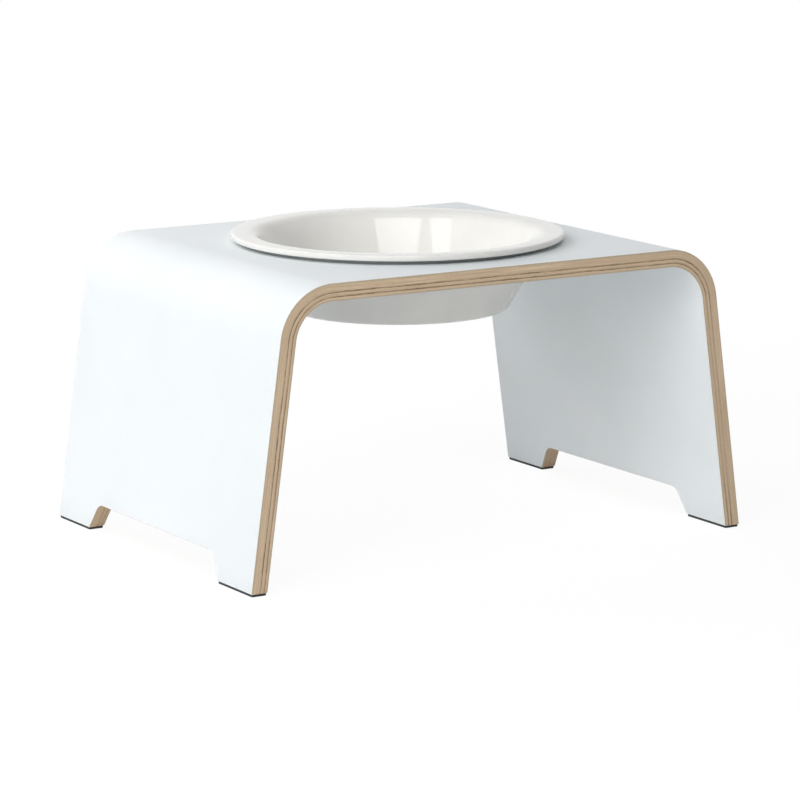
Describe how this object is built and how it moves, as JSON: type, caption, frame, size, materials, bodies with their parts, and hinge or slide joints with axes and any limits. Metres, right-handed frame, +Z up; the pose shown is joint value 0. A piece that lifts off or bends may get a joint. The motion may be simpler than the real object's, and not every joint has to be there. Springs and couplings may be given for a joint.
{
  "type": "dog feeder stand",
  "caption": "Raised pet feeder: a bent plywood sheet with white laminate faces and bare edges, splayed notched legs on rubber pads, and a loose flanged bowl in a round cut-out.",
  "frame": {"origin": "on the floor, under the middle of the stand", "axes": "+X from leg to leg, -Y out of the front edge, +Z up"},
  "size_m": [0.3322, 0.234, 0.1758],
  "materials": {
    "laminate": "satin white decorative laminate",
    "long_veneer": "sanded beech veneer, grain along the sheet",
    "cross_veneer": "sanded beech veneer, end grain at the edge",
    "ring_rubber": "matte grey silicone",
    "glaze": "gloss white glaze",
    "pad_rubber": "matte dark rubber"
  },
  "bodies": {
    "stand": {"outer_laminate": "laminate", "veneer_1": "long_veneer", "veneer_2": "long_veneer", "veneer_3": "long_veneer", "veneer_4": "cross_veneer", "veneer_5": "long_veneer", "veneer_6": "cross_veneer", "veneer_7": "long_veneer", "inner_laminate": "laminate", "pad_front_left": "pad_rubber", "pad_front_right": "pad_rubber", "pad_back_left": "pad_rubber", "pad_back_right": "pad_rubber"},
    "ring": {"bowl_ring": "ring_rubber"},
    "bowl": {"bowl": "glaze"}
  },
  "joints": [
    {"name": "bowl_turn", "type": "hinge", "parent": "stand", "child": "ring", "pos_m": [0, 0, 0.17], "axis": [0, 0, 1], "continuous": true},
    {"name": "bowl_lift", "type": "slide", "parent": "ring", "child": "bowl", "axis": [0, 0, 1], "range_m": [0, 0.08]}
  ]
}
